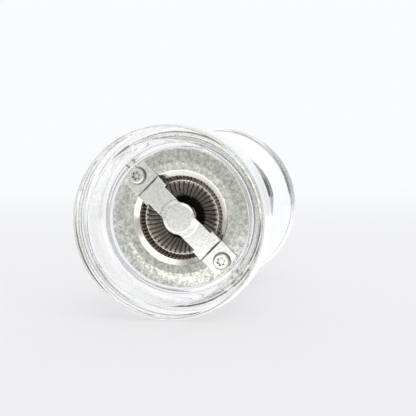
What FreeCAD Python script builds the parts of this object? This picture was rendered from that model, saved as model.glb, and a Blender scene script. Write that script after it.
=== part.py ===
import FreeCAD, Part
import math
import os

# Pepper mill of clear acrylic in an hourglass form, standing on its foot.
# The origin is the centre of the foot's lower face and +Z runs up the axis.
# Millimetres and degrees throughout.

V = FreeCAD.Vector
AXIS = V(0, 0, 1)

# Body: outer form
foot_radius = 29.0
foot_taper = 0.4
foot_taper_height = 6.0
foot_edge_round = 1.0
foot_band_height = 13.0
foot_shoulder_round = 2.0
foot_shoulder_turn = 52.0
foot_pull = 9.0
waist_pull = 22.0
waist_land = 4.0
neck_wall = 4.5
body_height = 62.0
neck_edge_round = 0.8

# Body: recess under the foot, with the pocket that seats the base plate
foot_wall = 5.2
mouth_round = 0.6
recess_draft = 0.3
recess_depth = 17.4
recess_ledge = 1.5
pocket_depth = 2.5
pocket_chamfer = 0.2
plate_clearance = 0.3

# Base plate
plate_thickness = 0.9
plate_edge_round = 0.2
funnel_width = 2.6
funnel_drop = 0.2
lip_inset = 0.5
lip_taper = 1.6
lip_drop = 1.0
lip_round = 0.8

# Ring burr and the tabs that key it to the plate
ring_clearance = 0.3
ring_height = 4.6
ring_seat = 2.2
ring_teeth = 70
ring_foot_wall = 2.5
ring_throat_wall = 4.0
ring_top_wall = 2.9
ring_throat_rise = 3.0
ring_tooth_depth = 0.5
ring_twist = 5.0
key_width = 4.0
key_inset = 0.2
key_thickness = 0.8
key_reach = 1.4
key_clearance = 0.15

# Male burr
grind_gap = 0.65
male_rise = 0.9
male_height = 11.6
male_band_height = 2.8
male_band_taper = 1.2
male_teeth = 60
male_tooth_depth = 0.5
male_rim_notch = 0.15
male_band_twist = 5.0
male_flutes = 8
male_flute_step = 0.6
male_wall = 1.0
male_hub_wall = 0.8
male_top_flute_depth = 1.0
male_flute_twist = 42.0
dish_rim = 0.15
dish_flutes = 44
dish_flute_depth = 0.55
dish_flute_lean = 0.2
dish_depth = 3.2
dish_step = 0.4
dish_twist = -4.0
cavity_clearance = 2.2
cavity_depth = 5.6

# Bridge across the hole, with a boss that carries the shaft's pivot
bridge_thickness = 1.0
pad_width = 8.8
pad_end = 2.0
bend_inset = 4.5
bend_run = 0.5
joggle = 0.6
arm_width = 7.2
arm_notch = 4.0
arm_root_round = 2.0
bridge_edge_round = 0.2
boss_radius = 5.0
boss_top_radius = 4.3
boss_foot_radius = 6.0
boss_rise = 0.9
boss_round = 0.5
boss_foot_round = 1.4
boss_dish_depth = 0.15
boss_dish_rim = 0.6
socket_wall = 0.9
collar_height = 2.4
collar_wall = 1.2

# Screws: the pair that holds the bridge, and the pair under the head
screw_edge = 3.0
screw_wall = 1.5
screw_head_radius = 2.55
screw_head_height = 1.9
screw_head_round = 0.6
screw_shank_radius = 1.45
screw_grip = 6.5
screw_point = 1.2
screw_drive_radius = 1.4
drive_screw_head_radius = 1.7
drive_screw_head_height = 1.0
drive_screw_head_round = 0.4
drive_screw_shank_radius = 0.95
drive_screw_grip = 6.0
drive_screw_drive_radius = 0.85
drive_depth_share = 0.45
lobe_share = 0.28
pilot_clearance = 0.05
through_clearance = 0.25

# Shaft
shaft_side = 5.5
shaft_chamfer = 0.4
shaft_fit = 0.06
shaft_bore_clearance = 0.4
pivot_radius = 2.3
pivot_fit = 0.08
pivot_rest = 1.35
flange_radius = 3.7
flange_thickness = 0.9
thread_radius = 2.5
thread_fit = 0.06
thread_neck = 9.0
thread_length = 7.5

# Head
seat_gap = 0.1
spigot_length = 8.0
spigot_clearance = 0.35
spigot_round = 0.5
head_land = 4.0
head_height = 44.9
rim_inset = 0.5
rim_band_height = 6.0
rim_round = 6.0
rim_shoulder_round = 7.0
rim_shoulder_turn = 80.0
rim_pull = 3.5
neck_pull = 16.0
dome_rise = 4.6
dome_round = 14.0
knob_seat_width = 5.4
drive_plate_margin = 2.0
drive_plate_thickness = 1.2

# Knob
knob_height = 12.9
knob_flange_radius = 7.5
knob_flange_height = 1.6
knob_neck_radius = 5.6
knob_neck_height = 3.2
knob_radius = 9.0
knob_swell_height = 6.0
knob_round = 5.5
knob_bore_spare = 2.0

# Small working values
overcut = 0.1
fine_round = 0.4

# Radii that follow from the foot inwards
mouth_radius = foot_radius - foot_wall
recess_radius = mouth_radius - recess_draft
pocket_radius = recess_radius - recess_ledge - pocket_chamfer
plate_radius = pocket_radius - plate_clearance
screw_spread = plate_radius - screw_edge
pilot_radius = screw_shank_radius + pilot_clearance
counterbore_radius = screw_spread - pilot_radius - screw_wall
ring_radius = counterbore_radius - ring_clearance
hole_radius = ring_radius - lip_inset
lip_radius = hole_radius - lip_taper
chamber_radius = ring_radius - ring_seat
waist_radius = chamber_radius + neck_wall
spigot_radius = chamber_radius - spigot_clearance
rim_radius = foot_radius - rim_inset
shaft_bore_radius = shaft_side / math.sqrt(2) + shaft_bore_clearance
knob_bore_radius = thread_radius + thread_fit
socket_radius = pivot_radius + pivot_fit

# Heights that follow from the foot upwards
pocket_floor = recess_depth + pocket_depth
plate_face = pocket_floor - plate_thickness
lip_angle = math.atan2(lip_drop, lip_taper)
lip_foot = plate_face + funnel_drop
lip_end = lip_foot + lip_drop + plate_thickness * math.cos(lip_angle)
ring_top = lip_end + ring_height
pad_face = plate_face - bridge_thickness
arm_face = pad_face - joggle
boss_face = arm_face - boss_rise
socket_floor = boss_face + boss_dish_depth + socket_wall
collar_top = arm_face + bridge_thickness + collar_height
male_foot = lip_end + male_rise
male_top = male_foot + male_height
cavity_top = male_foot + cavity_depth
pivot_tip = socket_floor + pivot_rest
head_base = body_height + seat_gap
spigot_foot = head_base - spigot_length
knob_seat = head_base + head_height
knob_base = knob_seat + seat_gap
rim_top = knob_seat - dome_rise
rim_low = rim_top - rim_band_height
thread_top = knob_base + thread_length
thread_foot = knob_base - thread_neck

# The male burr's rim clears the ring's tooth tips by the grinding gap at rest
ring_foot_tip = ring_radius - ring_foot_wall
ring_throat_tip = ring_radius - ring_throat_wall
ring_top_tip = ring_radius - ring_top_wall
ring_slope = (ring_foot_tip - ring_throat_tip) / ring_throat_rise
male_radius = ring_foot_tip - ring_slope * male_rise - grind_gap
male_band_radius = male_radius - male_band_taper

# The male burr's cavity clears the shaft's flange, and its flutes leave a wall round the cavity
shaft_hole_side = shaft_side + 2 * shaft_fit
cavity_radius = flange_radius + cavity_clearance
dish_floor_radius = cavity_radius + dish_step
flute_root_radius = cavity_radius + male_wall
flute_tip_radius = male_band_radius - male_tooth_depth - male_flute_step
flute_top_root_radius = shaft_hole_side / math.sqrt(2) + male_hub_wall


def rounded_edges(corners, closed):
    """Edges through corners (radius, height, rounding), with a tangent arc at each rounded corner."""
    points = [V(radius, 0, height) for radius, height, rounding in corners]
    count = len(points)
    stops = []
    for i, (radius, height, rounding) in enumerate(corners):
        here = points[i]
        at_end = not closed and i in (0, count - 1)
        if rounding == 0 or at_end:
            stops.append((here, None, here))
            continue
        back = (points[i - 1] - here).normalize()
        ahead = (points[(i + 1) % count] - here).normalize()
        half = back.getAngle(ahead) / 2
        along = rounding / math.tan(half)
        centre = here + (back + ahead).normalize() * (rounding / math.sin(half))
        middle = centre + (here - centre).normalize() * rounding
        stops.append((here + back * along, middle, here + ahead * along))
    edges = []
    for i, (start, middle, end) in enumerate(stops):
        if middle:
            edges.append(Part.Arc(start, middle, end).toShape())
        if closed or i < count - 1:
            following = stops[(i + 1) % count][0]
            edges.append(Part.LineSegment(end, following).toShape())
    return edges


def flare_edges(wide, wide_height, narrow, narrow_height, rounding, turn, wide_pull, narrow_pull):
    """Shoulder arc off a straight wall, then a bell curve that meets the waist upright."""
    up = math.copysign(1, narrow_height - wide_height)
    half = math.radians(turn) / 2

    def on_arc(angle):
        return V(wide - rounding * (1 - math.cos(angle)), 0, wide_height + up * rounding * math.sin(angle))

    leave = on_arc(2 * half)
    heading = V(-math.sin(2 * half), 0, up * math.cos(2 * half))
    arrive = V(narrow, 0, narrow_height)
    bell = Part.BezierCurve()
    bell.setPoles([leave, leave + heading * wide_pull, arrive - AXIS * up * narrow_pull, arrive])
    return [Part.Arc(on_arc(0), on_arc(half), leave).toShape(), bell.toShape()]


def revolved(edges):
    """Solid of revolution about the mill's axis from a closed set of edges."""
    face = Part.Face(Part.Wire(Part.sortEdges(edges)[0]))
    solid = face.revolve(V(0, 0, 0), AXIS, 360)
    if solid.Volume < 0:
        solid.reverse()
    return solid


def turned(corners):
    """Turned piece from a closed outline of corners (radius, height, rounding)."""
    return revolved(rounded_edges(corners, True))


def cylinder(radius, low, high, x=0, y=0):
    return Part.makeCylinder(radius, high - low, V(x, y, low))


def block(length, width, low, high, x=0, y=0):
    """Upright block centred on x and y."""
    return Part.makeBox(length, width, high - low, V(x - length / 2, y - width / 2, low))


def toothed_loft(count, sections, lean=0.5):
    """Solid through toothed rings (tip radius, root radius, height, turn), with straight tooth sides.

    The lean is the share of the pitch from a tip to the next root: half gives even teeth.
    """
    wires = []
    for tip, root, height, turn in sections:
        points = []
        for k in range(count):
            for radius, share in ((tip, 0.0), (root, lean)):
                angle = math.radians(turn) + 2 * math.pi * (k + share) / count
                points.append(V(radius * math.cos(angle), radius * math.sin(angle), height))
        wires.append(Part.makePolygon(points + points[:1]))
    return Part.makeLoft(wires, True, True)


def six_lobe(radius, low, high, x, y):
    """Cutter for a six-lobe screw recess."""
    lobe = lobe_share * radius
    reach = radius - lobe
    cutter = cylinder(reach, low, high, x, y)
    for k in range(6):
        angle = math.pi * k / 3
        cutter = cutter.fuse(cylinder(lobe, low, high, x + reach * math.cos(angle), y + reach * math.sin(angle)))
    return cutter


def pan_screw(x, y, seat, head_radius, head_height, head_round, shank_radius, length, drive_radius):
    """Pan-head screw that points up, with its head below the seat."""
    head_face = seat - head_height
    tip = seat + length
    screw = turned([
        (0, head_face, 0),
        (head_radius, head_face, head_round),
        (head_radius, seat, 0),
        (shank_radius, seat, 0),
        (shank_radius, tip - screw_point, 0),
        (0, tip, 0),
    ])
    screw.translate(V(x, y, 0))
    drive_depth = drive_depth_share * head_height
    return screw.cut(six_lobe(drive_radius, head_face - overcut, head_face + drive_depth, x, y))


def opposite(spread):
    """The two places at one distance on either side of the axis."""
    return (-spread, spread)


def make_body():
    wall = [
        (waist_radius, body_height - waist_land, 0),
        (waist_radius, body_height, neck_edge_round),
        (chamber_radius, body_height, fine_round),
        (chamber_radius, ring_top, 0),
        (counterbore_radius, ring_top, 0),
        (counterbore_radius, pocket_floor, 0),
        (pocket_radius, pocket_floor, 0),
        (pocket_radius, recess_depth + pocket_chamfer, 0),
        (pocket_radius + pocket_chamfer, recess_depth, 0),
        (recess_radius, recess_depth, fine_round),
        (mouth_radius, 0, mouth_round),
        (foot_radius - foot_taper, 0, foot_edge_round),
        (foot_radius, foot_taper_height, 0),
        (foot_radius, foot_band_height, 0),
    ]
    flare = flare_edges(foot_radius, foot_band_height, waist_radius, body_height - waist_land,
                        foot_shoulder_round, foot_shoulder_turn, foot_pull, waist_pull)
    solid = revolved(rounded_edges(wall, False) + flare)
    pilot_top = pad_face + bridge_thickness + plate_thickness + screw_grip + pilot_clearance
    for x in opposite(screw_spread):
        solid = solid.cut(cylinder(pilot_radius, pocket_floor - overcut, pilot_top, x))
    return solid


def make_base_plate():
    end_radius = lip_radius + plate_thickness * math.sin(lip_angle)
    back_radius = end_radius + (lip_end - pocket_floor) / math.tan(lip_angle)
    solid = turned([
        (plate_radius, plate_face, plate_edge_round),
        (hole_radius + funnel_width, plate_face, 0),
        (hole_radius, lip_foot, lip_round),
        (lip_radius, lip_foot + lip_drop, 0),
        (end_radius, lip_end, 0),
        (back_radius, pocket_floor, fine_round),
        (plate_radius, pocket_floor, plate_edge_round),
    ])
    key_radius = ring_radius - key_inset - key_thickness / 2
    for y in opposite(key_radius):
        solid = solid.fuse(block(key_width, key_thickness, pocket_floor, lip_end + key_reach, 0, y))
    for x in opposite(screw_spread):
        hole = screw_shank_radius + through_clearance
        solid = solid.cut(cylinder(hole, plate_face - overcut, pocket_floor + overcut, x))
    return solid.removeSplitter()


def make_ring_burr():
    below = lip_end - overcut
    above = ring_top + overcut
    teeth = toothed_loft(ring_teeth, [
        (ring_foot_tip, ring_foot_tip + ring_tooth_depth, below, 0),
        (ring_throat_tip, ring_throat_tip + ring_tooth_depth, lip_end + ring_throat_rise, ring_twist),
        (ring_top_tip, ring_top_tip + ring_tooth_depth, above, 2 * ring_twist),
    ])
    solid = cylinder(ring_radius, lip_end, ring_top).cut(teeth)
    notch_inner = ring_radius - key_inset - key_thickness - key_clearance
    notch_depth = ring_radius + overcut - notch_inner
    notch_top = lip_end + key_reach + key_clearance
    for side in opposite(1):
        y = side * (notch_inner + notch_depth / 2)
        notch = block(key_width + 2 * key_clearance, notch_depth, lip_end - overcut, notch_top, 0, y)
        solid = solid.cut(notch)
    return solid


def make_male_burr():
    band_top = male_foot + male_band_height
    band = toothed_loft(male_teeth, [
        (male_radius, male_radius - male_rim_notch, male_foot, 0),
        (male_band_radius, male_band_radius - male_tooth_depth, band_top, male_band_twist),
    ])
    flutes = toothed_loft(male_flutes, [
        (flute_tip_radius, flute_root_radius, band_top, 0),
        (flute_top_root_radius + male_top_flute_depth, flute_top_root_radius, male_top, male_flute_twist),
    ])
    dish_radius = male_radius - male_rim_notch - dish_rim
    dish = toothed_loft(dish_flutes, [
        (dish_radius, dish_radius - dish_flute_depth, male_foot - overcut, 0),
        (dish_floor_radius, dish_floor_radius - dish_flute_depth, male_foot + dish_depth, dish_twist),
    ], dish_flute_lean)
    solid = band.fuse(flutes).cut(dish)
    solid = solid.cut(cylinder(cavity_radius, male_foot, cavity_top))
    return solid.cut(block(shaft_hole_side, shaft_hole_side, cavity_top - overcut, male_top + overcut))


def make_bridge():
    bend = screw_spread - bend_inset
    end = screw_spread + pad_end
    lower = [
        (end, pad_face), (bend, pad_face), (bend - bend_run, arm_face),
        (bend_run - bend, arm_face), (-bend, pad_face), (-end, pad_face),
    ]
    upper = [(x, z + bridge_thickness) for x, z in reversed(lower)]
    corners = [V(x, -pad_width, z) for x, z in lower + upper]
    strap = Part.Face(Part.makePolygon(corners + corners[:1])).extrude(V(0, 2 * pad_width, 0))

    low = boss_face - overcut
    high = collar_top + overcut
    plan = block(2 * end, arm_width, low, high).fuse(cylinder(boss_radius, low, high))
    plan = plan.removeSplitter()
    roots = [edge for edge in plan.Edges if is_root(edge, boss_radius)]
    plan = plan.makeFillet(arm_root_round, roots)
    wide_from = bend - arm_notch
    for side in opposite(1):
        plan = plan.fuse(block(end - wide_from, pad_width, low, high, side * (end + wide_from) / 2))
    solid = strap.common(plan)

    boss_skirt = boss_foot_radius + boss_foot_round
    boss = turned([
        (0, boss_face + boss_dish_depth, 0),
        (boss_top_radius - boss_dish_rim, boss_face + boss_dish_depth, 0),
        (boss_top_radius - boss_dish_rim, boss_face, 0),
        (boss_top_radius, boss_face, boss_round),
        (boss_foot_radius, arm_face, boss_foot_round),
        (boss_skirt, arm_face, 0),
        (boss_skirt, arm_face + bridge_thickness, 0),
        (socket_radius + collar_wall, arm_face + bridge_thickness, 0),
        (socket_radius + collar_wall, collar_top, fine_round),
        (0, collar_top, 0),
    ])
    solid = solid.fuse(boss.common(plan)).removeSplitter()
    solid = solid.cut(cylinder(socket_radius, socket_floor, collar_top + overcut))
    for x in opposite(screw_spread):
        solid = solid.cut(cylinder(screw_shank_radius + through_clearance, low, high, x))
    return solid.makeFillet(bridge_edge_round, lower_rim(solid))


def middle_normal(face):
    u_low, u_high, v_low, v_high = face.ParameterRange
    return face.normalAt((u_low + u_high) / 2, (v_low + v_high) / 2)


def is_round_wall(face):
    """True for a cylinder that goes all the way round, such as a hole or a collar."""
    if not isinstance(face.Surface, Part.Cylinder):
        return False
    return abs(face.BoundBox.XLength - 2 * face.Surface.Radius) < overcut


def lower_rim(solid):
    """Edges round the outside of the strap, where an upright wall meets a face that looks down."""
    walls = [face for face in solid.Faces if abs(middle_normal(face).z) < overcut and not is_round_wall(face)]
    lower = [face for face in solid.Faces if middle_normal(face).z < -overcut]
    lower_edges = [edge for face in lower for edge in face.Edges]
    return [edge for wall in walls for edge in wall.Edges if any(edge.isSame(other) for other in lower_edges)]


def is_root(edge, radius):
    """True for an upright edge that stands on the circle of that radius about the axis."""
    ends = [vertex.Point for vertex in edge.Vertexes]
    if len(ends) != 2 or abs(ends[0].z - ends[1].z) < overcut:
        return False
    return all(abs(math.hypot(point.x, point.y) - radius) < 0.01 for point in ends)


def make_bridge_screws():
    length = bridge_thickness + plate_thickness + screw_grip
    return Part.makeCompound([
        pan_screw(x, 0, pad_face, screw_head_radius, screw_head_height, screw_head_round,
                  screw_shank_radius, length, screw_drive_radius)
        for x in opposite(screw_spread)
    ])


def make_shaft():
    flange_foot = cavity_top - flange_thickness
    bar = block(shaft_side, shaft_side, cavity_top, thread_foot)
    long_edges = [edge for edge in bar.Edges if abs(edge.Vertexes[0].Z - edge.Vertexes[1].Z) > shaft_side]
    bar = bar.makeChamfer(shaft_chamfer, long_edges)
    pivot = turned([
        (0, pivot_tip, 0),
        (pivot_radius, pivot_tip, fine_round),
        (pivot_radius, flange_foot, 0),
        (flange_radius, flange_foot, fine_round),
        (flange_radius, cavity_top, 0),
        (0, cavity_top, 0),
    ])
    stud = turned([
        (0, thread_foot, 0),
        (thread_radius, thread_foot, 0),
        (thread_radius, thread_top, fine_round),
        (0, thread_top, 0),
    ])
    return bar.fuse(pivot).fuse(stud)


def drive_screw_spread():
    """Midway between the square hole's corner and the edge of the drive plate."""
    return (shaft_bore_radius + spigot_radius - drive_plate_margin) / 2


def make_drive_plate():
    low = spigot_foot - drive_plate_thickness
    solid = turned([
        (0, low, 0),
        (spigot_radius - drive_plate_margin, low, fine_round),
        (spigot_radius - drive_plate_margin, spigot_foot, 0),
        (0, spigot_foot, 0),
    ])
    solid = solid.cut(block(shaft_hole_side, shaft_hole_side, low - overcut, spigot_foot + overcut))
    for y in opposite(drive_screw_spread()):
        radius = drive_screw_shank_radius + through_clearance
        solid = solid.cut(cylinder(radius, low - overcut, spigot_foot + overcut, 0, y))
    return solid


def make_drive_plate_screws():
    seat = spigot_foot - drive_plate_thickness
    length = drive_plate_thickness + drive_screw_grip
    return Part.makeCompound([
        pan_screw(0, y, seat, drive_screw_head_radius, drive_screw_head_height, drive_screw_head_round,
                  drive_screw_shank_radius, length, drive_screw_drive_radius)
        for y in opposite(drive_screw_spread())
    ])


def make_head():
    stem = [
        (shaft_bore_radius, knob_seat, 0),
        (shaft_bore_radius, spigot_foot, fine_round),
        (spigot_radius, spigot_foot, spigot_round),
        (spigot_radius, head_base, 0),
        (waist_radius, head_base, neck_edge_round),
        (waist_radius, head_base + head_land, 0),
    ]
    flare = flare_edges(rim_radius, rim_low, waist_radius, head_base + head_land,
                        rim_shoulder_round, rim_shoulder_turn, rim_pull, neck_pull)
    crown = [
        (rim_radius, rim_low, 0),
        (rim_radius, rim_top, rim_round),
        (shaft_bore_radius + knob_seat_width, knob_seat, dome_round),
        (shaft_bore_radius, knob_seat, 0),
    ]
    solid = revolved(rounded_edges(stem, False) + flare + rounded_edges(crown, False))
    pilot = drive_screw_shank_radius + pilot_clearance
    pilot_top = spigot_foot + drive_screw_grip + pilot_clearance
    for y in opposite(drive_screw_spread()):
        solid = solid.cut(cylinder(pilot, spigot_foot - overcut, pilot_top, 0, y))
    return solid


def make_knob():
    top = knob_base + knob_height
    bore_top = thread_top + knob_bore_spare
    return turned([
        (knob_bore_radius, knob_base, 0),
        (knob_flange_radius, knob_base, fine_round),
        (knob_flange_radius, knob_base + knob_flange_height, fine_round),
        (knob_neck_radius, knob_base + knob_neck_height, fine_round),
        (knob_radius, knob_base + knob_swell_height, fine_round),
        (knob_radius, top, knob_round),
        (0, top, 0),
        (0, bore_top, 0),
        (knob_bore_radius, bore_top, 0),
    ])


nodes = {
    "body": make_body(),
    "base_plate": make_base_plate(),
    "ring_burr": make_ring_burr(),
    "bridge": make_bridge(),
    "bridge_screws": make_bridge_screws(),
    "male_burr": make_male_burr(),
    "shaft": make_shaft(),
    "head": make_head(),
    "drive_plate": make_drive_plate(),
    "drive_plate_screws": make_drive_plate_screws(),
    "knob": make_knob(),
}

os.makedirs("parts", exist_ok=True)
for name, shape in nodes.items():
    shape.exportStep(f"parts/{name}.step")
    box = shape.BoundBox
    print(f"{name}: {len(shape.Solids)} solid(s), valid {shape.isValid()}, {shape.Volume:.1f} mm3,"
          f" radius {box.XMax:.2f}, height {box.ZMin:.2f} to {box.ZMax:.2f}")
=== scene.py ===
# %% [markdown]
# # A clear pepper mill, seen from its foot
# The mill lies on its side on a white sweep and shows the camera its foot.
# Every piece already exists as a solid in the frame, standing upright on its foot at the origin.
# This lesson gives those pieces their finish, rebuilds the clear shells as smooth turned surfaces
# and places the camera so that the picture is taken from the same side as the photograph.

# %% Load the frame
import math

import bmesh
import bpy
import numpy as np
from mathutils import Matrix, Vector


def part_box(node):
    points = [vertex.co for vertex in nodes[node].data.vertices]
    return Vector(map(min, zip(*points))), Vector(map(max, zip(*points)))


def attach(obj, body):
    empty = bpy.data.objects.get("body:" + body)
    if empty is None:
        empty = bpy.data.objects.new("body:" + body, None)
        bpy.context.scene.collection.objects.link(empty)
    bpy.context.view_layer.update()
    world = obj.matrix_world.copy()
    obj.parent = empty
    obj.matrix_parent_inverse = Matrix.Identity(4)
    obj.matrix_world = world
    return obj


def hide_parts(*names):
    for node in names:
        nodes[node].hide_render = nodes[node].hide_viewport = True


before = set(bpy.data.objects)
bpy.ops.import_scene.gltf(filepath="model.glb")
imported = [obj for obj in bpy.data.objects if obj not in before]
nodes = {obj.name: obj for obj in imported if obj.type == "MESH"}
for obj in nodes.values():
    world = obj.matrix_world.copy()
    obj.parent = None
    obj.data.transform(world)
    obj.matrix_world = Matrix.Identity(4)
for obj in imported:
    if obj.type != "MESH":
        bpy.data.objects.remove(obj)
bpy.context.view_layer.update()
scene = bpy.context.scene
print("nodes:", sorted(nodes))

# %% [markdown]
# ## The main sizes
# A drawing would list the mill's main sizes. Here they are read from the boxes round the frame's pieces,
# so that whatever is made below fits the solids. Blender works in metres, and a size that is
# easier to think of in millimetres is written times MM.

# %% Main sizes
MM = 0.001
MM_PER_METRE = 1000.0


def node_box(name):
    """Lowest and highest corner of a node, as arrays in metres."""
    low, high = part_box(name)
    return np.array(low), np.array(high)


body_high = node_box("body")[1]
head_low, head_high = node_box("head")
ring_high = node_box("ring_burr")[1]

foot_radius = body_high[0]
body_height = body_high[2]
rim_radius = head_high[0]
knob_seat = head_high[2]
spigot_foot = head_low[2]
ring_radius = ring_high[0]
ring_top = ring_high[2]
print("foot radius", round(foot_radius / MM, 2), "mm, body height", round(body_height / MM, 2), "mm")

# %% [markdown]
# ## The camera
# A long lens looks into the foot from a little above and to one side.
# Its place could be found by trial, but three things read off the photograph settle it:
# where the middle of the foot is, where the mill's axis runs to in the distance, and
# the way the bridge lies. The foot's true radius then gives the distance.

# %% Find the camera
PICTURE_WIDTH = 416
FOCAL_PIXELS = 1029.0
FOOT_CENTRE_PIXEL = np.array([167.2, 222.7])
AXIS_VANISHING_PIXEL = np.array([388.0, 142.5])
BRIDGE_DIRECTION = math.radians(44.5)
FOOT_DISTANCE = 298.6 * MM


def unit(vector):
    """A vector divided by its own length."""
    vector = np.asarray(vector, dtype=float)
    return vector / np.linalg.norm(vector)


picture_centre = np.array([PICTURE_WIDTH / 2, PICTURE_WIDTH / 2])
# The mill's axes in camera terms: right, down, forward.
axis_z = unit([*(AXIS_VANISHING_PIXEL - picture_centre), FOCAL_PIXELS])
bridge_hint = np.array([math.cos(BRIDGE_DIRECTION), math.sin(BRIDGE_DIRECTION), 0.0])
axis_x = unit(bridge_hint - axis_z * bridge_hint.dot(axis_z))
axis_y = np.cross(axis_z, axis_x)
foot_centre = FOOT_DISTANCE * np.array([*(FOOT_CENTRE_PIXEL - picture_centre) / FOCAL_PIXELS, 1.0])

# Turned round, they give the camera's right, down and forward in the mill's own frame.
to_mill = np.array([axis_x, axis_y, axis_z])
picture_right, picture_down, picture_forward = to_mill.T
camera_place = -to_mill @ foot_centre
print("camera at", np.round(camera_place / MM, 1), "mm")

# %% Place the camera
SENSOR_WIDTH = 36.0
NEAREST_SEEN = 10 * MM

camera_data = bpy.data.cameras.new("picture_camera")
camera_data.sensor_width = SENSOR_WIDTH
camera_data.lens = FOCAL_PIXELS / PICTURE_WIDTH * SENSOR_WIDTH
camera_data.clip_start = NEAREST_SEEN
camera = bpy.data.objects.new("picture_camera", camera_data)
camera.matrix_world = Matrix([
    [picture_right[i], -picture_down[i], -picture_forward[i], camera_place[i]] for i in range(3)
] + [[0, 0, 0, 1]])
scene.collection.objects.link(camera)
scene.camera = camera
print("lens of", round(camera_data.lens, 1), "mm")


# %% [markdown]
# ## Small helpers for shader nodes
# Each finish below is a short list of nodes. A few helpers keep those lists readable: one adds a node and
# sets its inputs, others start a material or a group, and the rest do one step of arithmetic each.

# %% Node helpers
def add_node(tree, kind, inputs=None, **settings):
    """Add a shader node, set its plain attributes, and link or fill its inputs."""
    node = tree.nodes.new(kind)
    for name, value in settings.items():
        setattr(node, name, value)
    for name, value in (inputs or {}).items():
        if isinstance(value, bpy.types.NodeSocket):
            tree.links.new(value, node.inputs[name])
        else:
            node.inputs[name].default_value = value
    return node


def start_material(name):
    """A new material with only a Principled shader and its output."""
    material = bpy.data.materials.new(name)
    material.use_nodes = True
    tree = material.node_tree
    tree.nodes.clear()
    shader = add_node(tree, "ShaderNodeBsdfPrincipled")
    add_node(tree, "ShaderNodeOutputMaterial", {"Surface": shader.outputs["BSDF"]})
    return material, tree, shader


def start_group(name, inputs, outputs):
    """A shader node group, from its inputs' start values, numbers or colours, and its outputs' kinds."""
    group = bpy.data.node_groups.new(name, "ShaderNodeTree")
    for label, value in inputs.items():
        kind = "NodeSocketColor" if isinstance(value, tuple) else "NodeSocketFloat"
        socket = group.interface.new_socket(label, in_out="INPUT", socket_type=kind)
        socket.default_value = value
    for label, kind in outputs.items():
        group.interface.new_socket(label, in_out="OUTPUT", socket_type=kind)
    start = group.nodes.new("NodeGroupInput")
    end = group.nodes.new("NodeGroupOutput")
    return group, start.outputs, end.inputs


def grey(value):
    """A grey of one value, as a colour with alpha."""
    return (value, value, value, 1.0)


# %% Value helpers
def combine(tree, kind, first, second):
    """One Math node: two values in, one out."""
    return add_node(tree, "ShaderNodeMath", {0: first, 1: second}, operation=kind).outputs["Value"]


def magnitude(tree, value):
    """A value without its sign."""
    return add_node(tree, "ShaderNodeMath", {0: value}, operation="ABSOLUTE").outputs["Value"]


def smooth_step(tree, value, start, end):
    """Ease from 0 at the start to 1 at the end."""
    ease = add_node(tree, "ShaderNodeMapRange", {"Value": value, "From Min": start, "From Max": end},
                    interpolation_type="SMOOTHSTEP")
    return ease.outputs["Result"]


def blend(tree, share, first, second):
    """Go from the first value to the second as the share goes from 0 to 1."""
    line = add_node(tree, "ShaderNodeMapRange", {"Value": share, "To Min": first, "To Max": second})
    return line.outputs["Result"]


def mix_colour(tree, share, first, second):
    """Blend from the first colour to the second."""
    inputs = {"Factor": share, 6: first, 7: second}
    return add_node(tree, "ShaderNodeMix", inputs, data_type="RGBA").outputs[2]


def direction_part(tree, direction, axis):
    """How far a vector points along an axis: their dot product."""
    part = add_node(tree, "ShaderNodeVectorMath", {0: direction, 1: tuple(axis)}, operation="DOT_PRODUCT")
    return part.outputs["Value"]


def object_place(tree):
    """The shaded point in the mill's own frame, in metres."""
    return add_node(tree, "ShaderNodeTexCoord").outputs["Object"]


def axis_distance(tree, place):
    """Distance from the mill's axis in metres: the length of (x, y, 0)."""
    flat = add_node(tree, "ShaderNodeVectorMath", {0: place, 1: (1, 1, 0)}, operation="MULTIPLY")
    length = add_node(tree, "ShaderNodeVectorMath", {0: flat.outputs["Vector"]}, operation="LENGTH")
    return length.outputs["Value"]


# %% [markdown]
# ## The sky
# Soft daylight fills a white room. The paper behind the mill is white from wherever it is seen, and so is
# nearly everything that the clear plastic bends into view: only pale walls at both sides and a pale ceiling
# draw its edges. Metal is less kind. It mirrors the dimmer room behind the camera, with a bright window high
# up, a dark corner to the left of it and a dark wall on each side. A lamp for each would work too, but a sky
# that knows which kind of ray is asking does it with no hard edges and no noise.

# %% Directions in the room
floor_normal = -unit(picture_down * [1, 1, 0])
world = bpy.data.worlds.new("white_room")
world.use_nodes = True
scene.world = world
sky = world.node_tree
sky.nodes.clear()
look = add_node(sky, "ShaderNodeTexCoord").outputs["Generated"]
forward_part = direction_part(sky, look, picture_forward)
up_part = direction_part(sky, look, floor_normal)
right_part = direction_part(sky, look, picture_right)
print("up in the picture is", np.round(floor_normal, 2), "in the mill's frame")

# %% Sky
WHITE_PAPER = (0.955, 0.965, 0.985, 1)
ROOM_TONE = (0.70, 0.70, 0.68, 1)
WINDOW_TONE = (2.0, 2.0, 1.95, 1)
CORNER_TONE = (0.30, 0.29, 0.28, 1)
DARK_WALL = (0.16, 0.16, 0.165, 1)
PALE_WALL = (0.70, 0.70, 0.67, 1)
# How far a direction points to each part of the room where that part starts and is complete.
BEHIND_EASE = (0.1, -0.5)
OVERHEAD_EASE = (0.22, 0.55)
WINDOW_EASE = (-0.5, 0.1)
WALL_EASE = (0.55, 0.8)
CEILING_EASE = (0.7, 0.92)

overhead = mix_colour(sky, smooth_step(sky, right_part, *WINDOW_EASE), CORNER_TONE, WINDOW_TONE)
room = mix_colour(sky, smooth_step(sky, up_part, *OVERHEAD_EASE), ROOM_TONE, overhead)
around = mix_colour(sky, smooth_step(sky, forward_part, *BEHIND_EASE), WHITE_PAPER, room)
wall_share = smooth_step(sky, magnitude(sky, right_part), *WALL_EASE)
seen_in_metal = mix_colour(sky, wall_share, around, DARK_WALL)

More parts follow.
